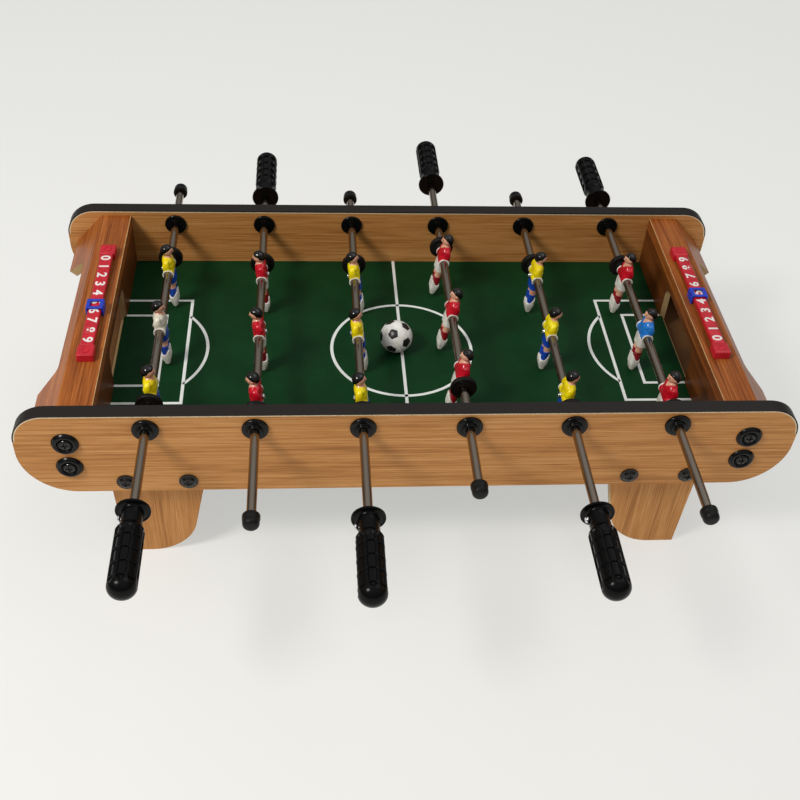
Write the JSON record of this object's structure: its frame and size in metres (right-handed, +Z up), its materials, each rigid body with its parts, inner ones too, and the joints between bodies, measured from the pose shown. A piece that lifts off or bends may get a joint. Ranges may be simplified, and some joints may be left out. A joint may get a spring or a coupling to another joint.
{
  "type": "tabletop foosball table",
  "caption": "Tabletop foosball table with wood-grain side boards, a green printed field, sliding and spinning rods of moulded figures, score bars and ball trays.",
  "frame": {"origin": "on the floor, at the middle of the space the table takes with its rods and handles as they stand; the middle of the playing field is 17 mm towards +Y of it", "axes": "+X along the table towards the right goal, +Y away from the front side board, +Z up"},
  "size_m": [0.684, 0.6592, 0.2005],
  "materials": {
    "oak_laminate": "light oak paper laminate on fibreboard, satin",
    "walnut_laminate": "reddish brown wood-grain laminate on fibreboard, semi-gloss",
    "raw_fibreboard": "brown fibreboard, matt",
    "black_edging": "black plastic edge band, fine satin",
    "printed_pitch": "dark green printed hardboard with white lines, satin",
    "black_plastic": "moulded black plastic, glossy",
    "black_steel": "black-coated steel screws",
    "handle_plastic": "moulded black plastic, semi-gloss",
    "black_rubber": "black rubber, matt",
    "steel_tube": "drawn steel tube, lightly brushed",
    "screw_steel": "zinc-plated steel cross-head screws, bright",
    "yellow_team": "moulded plastic painted in yellow, blue, skin and white, glossy",
    "red_team": "moulded plastic painted in red, white, skin and dark red, glossy",
    "red_plastic": "moulded red plastic with white numbers",
    "blue_plastic": "moulded blue plastic",
    "ball_plastic": "white plastic ball with black pentagons"
  },
  "bodies": {
    "root": {"front_side_board": "oak_laminate", "back_side_board": "oak_laminate", "side_board_edging": "black_edging", "pitch_board": "printed_pitch", "left_goal_wall": "walnut_laminate", "right_goal_wall": "walnut_laminate", "left_top_rail": "walnut_laminate", "right_top_rail": "walnut_laminate", "left_end_slope": "walnut_laminate", "right_end_slope": "walnut_laminate", "left_ball_tray": "raw_fibreboard", "right_ball_tray": "raw_fibreboard", "leg_front_left": "oak_laminate", "leg_front_right": "oak_laminate", "leg_back_left": "oak_laminate", "leg_back_right": "oak_laminate", "screw_cup_washers": "black_plastic", "frame_screws": "black_steel", "rod_bushes": "black_plastic", "rod_bush_nuts": "black_plastic", "score_bars": "red_plastic"},
    "left_score_marker": {"left_score_marker": "blue_plastic"},
    "right_score_marker": {"right_score_marker": "blue_plastic"},
    "ball": {"ball": "ball_plastic"},
    "rod_1_carriage": {"rod_1_bumpers": "black_rubber"},
    "rod_1": {"rod_1_tube": "steel_tube", "rod_1_handle": "handle_plastic", "rod_1_end_cap": "black_rubber", "rod_1_figures": "yellow_team", "rod_1_screws": "screw_steel"},
    "rod_2_carriage": {"rod_2_bumpers": "black_rubber"},
    "rod_2": {"rod_2_tube": "steel_tube", "rod_2_handle": "handle_plastic", "rod_2_end_cap": "black_rubber", "rod_2_figures": "red_team", "rod_2_screws": "screw_steel"},
    "rod_3_carriage": {"rod_3_bumpers": "black_rubber"},
    "rod_3": {"rod_3_tube": "steel_tube", "rod_3_handle": "handle_plastic", "rod_3_end_cap": "black_rubber", "rod_3_figures": "yellow_team", "rod_3_screws": "screw_steel"},
    "rod_4_carriage": {"rod_4_bumpers": "black_rubber"},
    "rod_4": {"rod_4_tube": "steel_tube", "rod_4_handle": "handle_plastic", "rod_4_end_cap": "black_rubber", "rod_4_figures": "red_team", "rod_4_screws": "screw_steel"},
    "rod_5_carriage": {"rod_5_bumpers": "black_rubber"},
    "rod_5": {"rod_5_tube": "steel_tube", "rod_5_handle": "handle_plastic", "rod_5_end_cap": "black_rubber", "rod_5_figures": "yellow_team", "rod_5_screws": "screw_steel"},
    "rod_6_carriage": {"rod_6_bumpers": "black_rubber"},
    "rod_6": {"rod_6_tube": "steel_tube", "rod_6_handle": "handle_plastic", "rod_6_end_cap": "black_rubber", "rod_6_figures": "red_team", "rod_6_screws": "screw_steel"}
  },
  "joints": [
    {"name": "rod_1_push", "type": "slide", "parent": "root", "child": "rod_1_carriage", "axis": [0, 1, 0], "range_m": [-0.0123, 0.0543]},
    {"name": "rod_1_spin", "type": "hinge", "parent": "rod_1_carriage", "child": "rod_1", "pos_m": [-0.23, 0.017, 0.1725], "axis": [0, 1, 0], "continuous": true},
    {"name": "rod_2_push", "type": "slide", "parent": "root", "child": "rod_2_carriage", "axis": [0, 1, 0], "range_m": [-0.0023, 0.0643]},
    {"name": "rod_2_spin", "type": "hinge", "parent": "rod_2_carriage", "child": "rod_2", "pos_m": [-0.138, 0.017, 0.1725], "axis": [0, 1, 0], "continuous": true},
    {"name": "rod_3_push", "type": "slide", "parent": "root", "child": "rod_3_carriage", "axis": [0, 1, 0], "range_m": [-0.0008, 0.0658]},
    {"name": "rod_3_spin", "type": "hinge", "parent": "rod_3_carriage", "child": "rod_3", "pos_m": [-0.046, 0.017, 0.1725], "axis": [0, 1, 0], "continuous": true},
    {"name": "rod_4_push", "type": "slide", "parent": "root", "child": "rod_4_carriage", "axis": [0, 1, 0], "range_m": [-0.0318, 0.0348]},
    {"name": "rod_4_spin", "type": "hinge", "parent": "rod_4_carriage", "child": "rod_4", "pos_m": [0.046, 0.017, 0.1725], "axis": [0, 1, 0], "continuous": true},
    {"name": "rod_5_push", "type": "slide", "parent": "root", "child": "rod_5_carriage", "axis": [0, 1, 0], "range_m": [-0.0018, 0.0648]},
    {"name": "rod_5_spin", "type": "hinge", "parent": "rod_5_carriage", "child": "rod_5", "pos_m": [0.138, 0.017, 0.1725], "axis": [0, 1, 0], "continuous": true},
    {"name": "rod_6_push", "type": "slide", "parent": "root", "child": "rod_6_carriage", "axis": [0, 1, 0], "range_m": [-0.0003, 0.0663]},
    {"name": "rod_6_spin", "type": "hinge", "parent": "rod_6_carriage", "child": "rod_6", "pos_m": [0.23, 0.017, 0.1725], "axis": [0, 1, 0], "continuous": true},
    {"name": "left_marker_slide", "type": "slide", "parent": "root", "child": "left_score_marker", "axis": [0, 1, 0], "range_m": [-0.0491, 0.0751]},
    {"name": "right_marker_slide", "type": "slide", "parent": "root", "child": "right_score_marker", "axis": [0, 1, 0], "range_m": [-0.0671, 0.0571]},
    {"name": "ball_lift", "type": "slide", "parent": "root", "child": "ball", "axis": [0, 0, 1], "range_m": [0, 0.1]}
  ]
}
